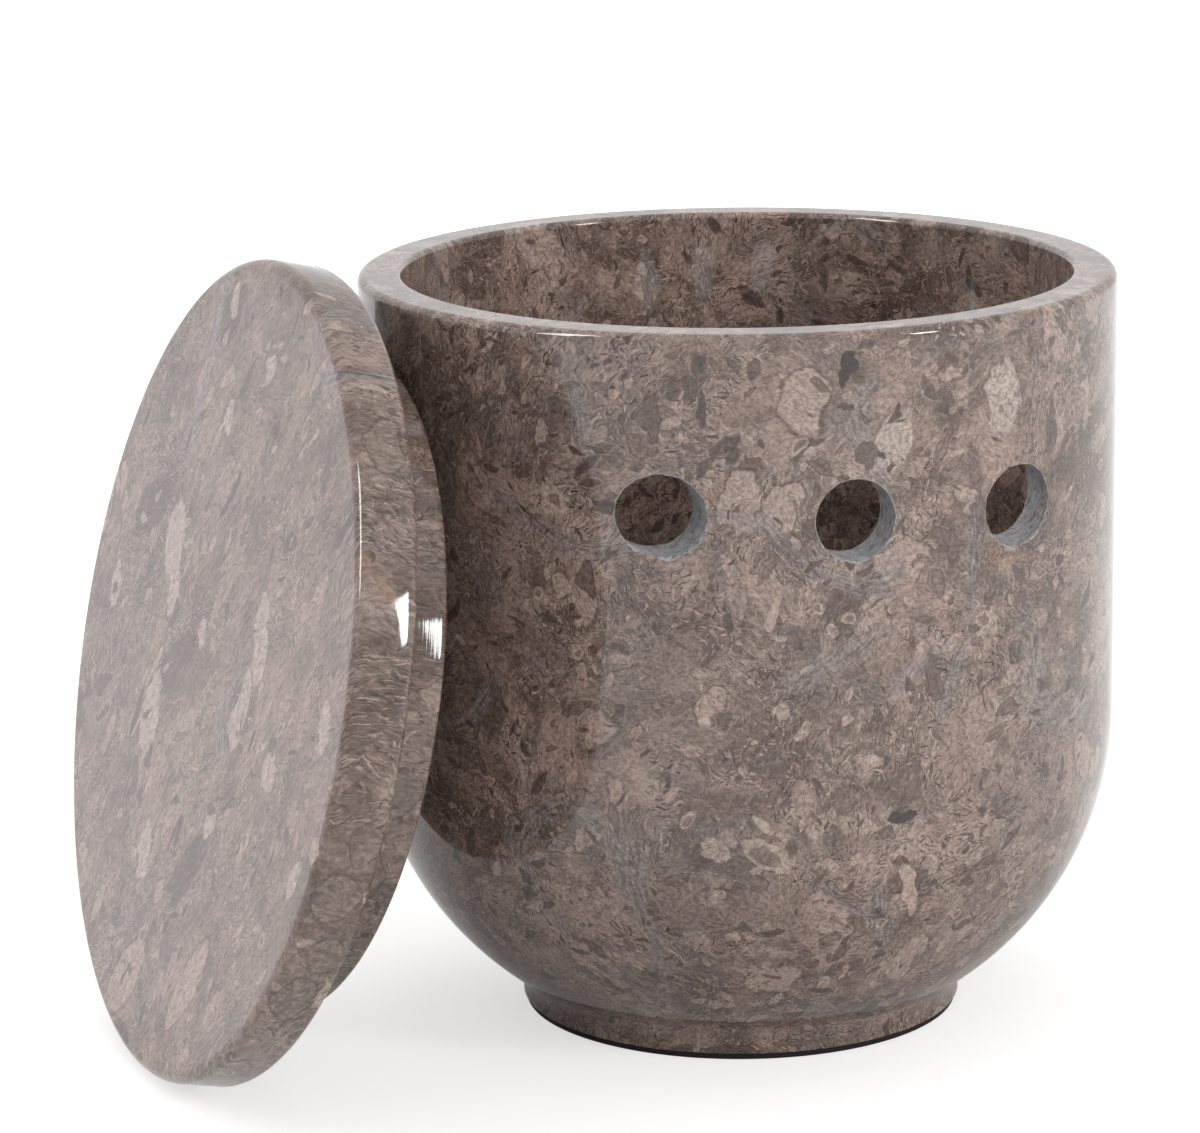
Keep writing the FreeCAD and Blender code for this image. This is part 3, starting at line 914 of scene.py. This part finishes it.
def jar_outline():
    """The jar's half section and the first rows of the outer and inner vent blocks."""
    cove = (FOOT_RADIUS + FOOT_COVE, PAD_THICKNESS + FOOT_LAND)
    bowl = bowl_radius()
    middle = (JAR_RADIUS - bowl, SHOULDER_HEIGHT)
    cove_end = math.degrees(math.atan2(middle[1] - cove[1], middle[0] - cove[0]))

    inner_bowl = bowl - WALL
    mouth = JAR_RADIUS - WALL
    round_height = FLOOR_HEIGHT + FLOOR_ROUND
    reach = inner_bowl - FLOOR_ROUND
    corner = (middle[0] + math.sqrt(reach ** 2 - (middle[1] - round_height) ** 2), round_height)
    round_end = math.degrees(math.atan2(corner[1] - middle[1], corner[0] - middle[0]))

    low, high = VENT_HEIGHT - VENT_PITCH / 2, VENT_HEIGHT + VENT_PITCH / 2
    foot_round = (FOOT_RADIUS - FOOT_EDGE_ROUND, PAD_THICKNESS + FOOT_EDGE_ROUND)
    outer_round = (JAR_RADIUS - RIM_OUTER_ROUND, RIM_HEIGHT - RIM_OUTER_ROUND)
    inner_round = (mouth + RIM_INNER_ROUND, RIM_HEIGHT - RIM_INNER_ROUND)

    below = (
        run((0, PAD_THICKNESS), (foot_round[0], PAD_THICKNESS), 4)
        + bend(foot_round, FOOT_EDGE_ROUND, -90, 0, 5)
        + run((FOOT_RADIUS, foot_round[1]), (FOOT_RADIUS, cove[1]), 1)
        + bend(cove, FOOT_COVE, 180, cove_end, 10)
        + bend(middle, bowl, cove_end - 180, 0, 26)
        + run((JAR_RADIUS, SHOULDER_HEIGHT), (JAR_RADIUS, low), 8)
    )
    between = (
        run((JAR_RADIUS, low), (JAR_RADIUS, high), BLOCK_STEPS)
        + run((JAR_RADIUS, high), (JAR_RADIUS, outer_round[1]), 5)
        + bend(outer_round, RIM_OUTER_ROUND, 0, 90, 9)
        + run((outer_round[0], RIM_HEIGHT), (inner_round[0], RIM_HEIGHT), 4)
        + bend(inner_round, RIM_INNER_ROUND, 90, 180, 7)
        + run((mouth, inner_round[1]), (mouth, high), 5)
    )
    inside = (
        run((mouth, high), (mouth, low), BLOCK_STEPS)
        + run((mouth, low), (mouth, SHOULDER_HEIGHT), 8)
        + bend(middle, inner_bowl, 0, round_end, 20)
        + bend(corner, FLOOR_ROUND, round_end, -90, 9)
        + run((corner[0], FLOOR_HEIGHT), (0, FLOOR_HEIGHT), 5)
        + on_axis(FLOOR_HEIGHT)
    )
    return below + between + inside, len(below), len(below) + len(between)


def jar_turns(radius):
    """Azimuths of the columns: even in x across both blocks, and even in angle between."""
    half = VENT_PITCH * VENT_COUNT / 2
    steps = BLOCK_STEPS * VENT_COUNT
    front = [math.asin(half * (2 * k / steps - 1) / radius) for k in range(steps + 1)]
    gap = math.pi - 2 * front[-1]
    right = [front[-1] + gap * k / SIDE_STEPS for k in range(1, SIDE_STEPS)]
    half_turn = front + right
    return half_turn + [turn + math.pi for turn in half_turn]


def block_loop(row, column):
    """The grid points round one square block, counterclockwise as seen on its surface."""
    steps = range(BLOCK_STEPS)
    far_row, far_column = row + BLOCK_STEPS, column + BLOCK_STEPS
    return (
        [(row, column + k) for k in steps] + [(row + k, far_column) for k in steps]
        + [(far_row, far_column - k) for k in steps] + [(far_row - k, column) for k in steps]
    )


def chipping(angle, seed):
    """How far the lip is broken away at an angle round the vent."""
    spot = Vector((math.cos(angle), math.sin(angle), seed * 7.3))
    wide = max(0.0, noise.noise(spot * 2.6))
    fine = max(0.0, noise.noise(spot * 9.0))
    return LIP_CHAMFER + WIDE_CHIP * wide ** 1.5 + FINE_CHIP * fine ** 1.3


def wall_point(x, z, radius, side, depth=0.0):
    """A point on the round wall, or below its surface along Y; side is -1 in front."""
    return (x, side * (math.sqrt(radius ** 2 - x * x) + depth), z)


def vent_mouth(jar, loop, centre, radius, side, inner, seed):
    """Fill a block around a vent's mouth and return the loop of points that ends its lip."""
    facing = -1 if inner else 1
    into = 1 if inner else -1
    spokes = []
    for number in loop:
        point = jar.points[number]
        spoke = Vector((point.x - centre[0], point.z - centre[1]))
        spokes.append((spoke.length, spoke.normalized()))
    lips = [VENT_RADIUS + chipping(math.atan2(way.y, way.x), seed) for _, way in spokes]

    def ring(reach_of, sink_of, normal_of):
        numbers = []
        for (length, way), lip in zip(spokes, lips):
            reach = reach_of(length, lip)
            x, z = centre[0] + way.x * reach, centre[1] + way.y * reach
            place = wall_point(x, z, radius, side, into * sink_of(lip))
            out = Vector((x, side * math.sqrt(radius ** 2 - x * x), 0)) * facing / radius
            numbers.append(jar.add(place, normal_of(out, Vector((-way.x, 0, -way.y)))))
        return numbers

    last = loop
    for k in range(1, MOUTH_STEPS + 1):
        # The rings crowd towards the lip.
        share = (1 - k / MOUTH_STEPS) ** 1.4
        reached = ring(lambda length, lip: lip + (length - lip) * share,
                       lambda lip: 0.0, lambda out, hole: out)
        jar.band(last, reached)
        last = reached
    for share in (0.62, 0.25, 0.0):
        # The chipped lip rounds from the wall into the hole.
        sunk = ring(lambda length, lip: VENT_RADIUS + (lip - VENT_RADIUS) * share,
                    lambda lip: (lip - VENT_RADIUS) * (1 - share) ** 1.3,
                    lambda out, hole: out * share + hole * (1 - share))
        jar.band(last, sunk, DRILLED)
        last = sunk
    return last


def vent_tube(jar, outer, inner, centre):
    """The drilled wall between two mouths, slightly uneven."""
    last = outer
    for k in range(1, TUBE_STEPS):
        ring = []
        for a, b in zip(outer, inner):
            point = jar.points[a].lerp(jar.points[b], k / TUBE_STEPS)
            way = Vector((point.x - centre[0], 0, point.z - centre[1])).normalized()
            point += way * VENT_UNEVENNESS * (noise.noise(point * 1.3) + 1)
            ring.append(jar.add(point, -way))
        jar.band(last, ring, DRILLED)
        last = ring
    jar.band(last, inner, DRILLED)


def make_jar(materials):
    """The jar: turned outside and inside, with six drilled vent mouths in square blocks."""
    jar = Surface()
    outline, outer_row, inner_row = jar_outline()
    outer_turns, inner_turns = jar_turns(JAR_RADIUS), jar_turns(JAR_RADIUS - WALL)
    half_turn = len(outer_turns) // 2
    rim_row = next(row for row, ((r, z), _) in enumerate(outline)
                   if z == RIM_HEIGHT and r < JAR_RADIUS - RIM_OUTER_ROUND)

    def turns_at(row):
        return outer_turns if row < rim_row else inner_turns

    def in_block(row, column):
        rows = any(first <= row < first + BLOCK_STEPS for first in (outer_row, inner_row))
        return rows and column % half_turn < BLOCK_STEPS * VENT_COUNT

    point = lathe(jar, outline, turns_at, in_block)
    seed = 0
    for side, first_column in ((-1, 0), (1, half_turn)):
        for vent in range(VENT_COUNT):
            column = first_column + vent * BLOCK_STEPS
            # The columns run to the right in front and to the left behind.
            step = -side * (vent - (VENT_COUNT - 1) / 2) * VENT_PITCH
            drop = step * math.sin(VENT_ROW_SLOPE)
            centre = (step * math.cos(VENT_ROW_SLOPE), VENT_HEIGHT - drop)
            seed += 2
            outer_loop = [point(*place) for place in block_loop(outer_row, column)]
            inner_loop = [point(*place) for place in block_loop(inner_row, column)]
            outer = vent_mouth(jar, outer_loop, centre, JAR_RADIUS, side, False, seed)
            inner = vent_mouth(jar, inner_loop, centre, JAR_RADIUS - WALL, side, True, seed + 1)
            # The inner loop starts at the top and runs the other way round.
            inner = inner[-BLOCK_STEPS::-1] + inner[:-BLOCK_STEPS:-1]
            vent_tube(jar, outer, inner, centre)
    return jar.make("jar_stone_body", materials)


# ---------- lid and pad

def lid_place():
    """Where the lid leans: its plug on the jar's side, its edge on the floor."""
    across, up = math.cos(LID_LEAN), math.sin(LID_LEAN)
    away = (JAR_RADIUS + LID_STANDOFF + PLUG_EDGE_ROUND
            + (PLUG_DEPTH - PLUG_EDGE_ROUND) * across + (PLUG_RADIUS - PLUG_EDGE_ROUND) * up)
    height = LID_EDGE_ROUND + (LID_RADIUS - LID_EDGE_ROUND) * across - LID_EDGE_ROUND * up
    spot = Vector((away * math.cos(LID_BEARING), away * math.sin(LID_BEARING), height))
    lean = Matrix.Rotation(math.pi / 2 - LID_LEAN, 4, "Y")
    return Matrix.Translation(spot) @ Matrix.Rotation(LID_BEARING, 4, "Z") @ lean


def crowned(radius, low, high, steps):
    """A very slightly barrelled upright stretch, as hand polishing leaves it."""
    half = (high - low) / 2
    bulge = (half ** 2 + LID_CROWN ** 2) / (2 * LID_CROWN)
    spread = math.degrees(math.asin(half / bulge))
    return bend((radius - bulge, (low + high) / 2), bulge, -spread, spread, steps)


def lid_outline():
    """Half section of the lid, from the plug's face to the middle of the disc's top."""
    plug_round = (PLUG_RADIUS - PLUG_EDGE_ROUND, PLUG_EDGE_ROUND - PLUG_DEPTH)
    seat_round = (PLUG_RADIUS + PLUG_SEAT_ROUND, -PLUG_SEAT_ROUND)
    rim = LID_RADIUS - LID_EDGE_ROUND
    low, high = LID_EDGE_ROUND, LID_THICKNESS - LID_EDGE_ROUND
    return (
        run((0, -PLUG_DEPTH), (plug_round[0], -PLUG_DEPTH), 6)
        + bend(plug_round, PLUG_EDGE_ROUND, -90, 0, 7)
        + crowned(PLUG_RADIUS, plug_round[1], seat_round[1], 6)
        + bend(seat_round, PLUG_SEAT_ROUND, 180, 90, 4)
        + run((seat_round[0], 0), (rim, 0), 3)
        + bend((rim, low), LID_EDGE_ROUND, -90, 0, 10)
        + crowned(LID_RADIUS, low, high, 6)
        + bend((rim, high), LID_EDGE_ROUND, 0, 90, 10)
        + run((rim, LID_THICKNESS), (0, LID_THICKNESS), 8)
        + on_axis(LID_THICKNESS)
    )


def make_lid(materials):
    lid = Surface()
    turns = even_turns(LID_COLUMNS)
    lathe(lid, lid_outline(), lambda row: turns)
    return lid.make("lid_stone_body", materials, lid_place())


def make_foot_pad(materials):
    """The thin pad under the foot, its cut edge barely rounded."""
    edge = PAD_RADIUS - PAD_EDGE_ROUND
    outline = (
        run((0, 0), (edge, 0), 3)
        + bend((edge, PAD_EDGE_ROUND), PAD_EDGE_ROUND, -90, 0, 4)
        + bend((edge, PAD_THICKNESS - PAD_EDGE_ROUND), PAD_EDGE_ROUND, 0, 90, 4)
        + run((edge, PAD_THICKNESS), (0, PAD_THICKNESS), 3)
        + on_axis(PAD_THICKNESS)
    )
    pad = Surface()
    turns = even_turns(PAD_COLUMNS)
    lathe(pad, outline, lambda row: turns)
    return pad.make("foot_pad_sheet", materials)


# ---------- the scene

def main():
    bpy.context.scene.view_settings.view_transform = "Standard"
    make_camera()
    make_studio()

    jar_stone = make_stone("jar_stone", jar_tint, inclusions=list(jar_inclusions()))
    jar = make_jar([jar_stone, drilled_stone()])

    # The lid is cut across the bedding.
    bedding = lid_place() @ Matrix.Rotation(LID_BEDDING, 4, "Z")
    bedding = bedding @ Matrix.Rotation(math.pi / 2, 4, "Y")
    lid_stone = make_stone("lid_stone", lid_tint_and_plug_shade, bedding.to_euler(), stretch=(2.2, 1, 1.9),
                           variety=0.6, grains=0.4, marks=turning_marks,
                           inclusions=list(lid_inclusions()))
    lid = make_lid([lid_stone])
    pad = make_foot_pad([pad_rubber()])

    for piece, body, node, slot in (
        (jar, "jar", "jar", "jar_stone"),
        (lid, "lid", "lid", "lid_stone"),
        (pad, "jar", "foot_pad", "pad"),
    ):
        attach(piece, body)
        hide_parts(node)


main()
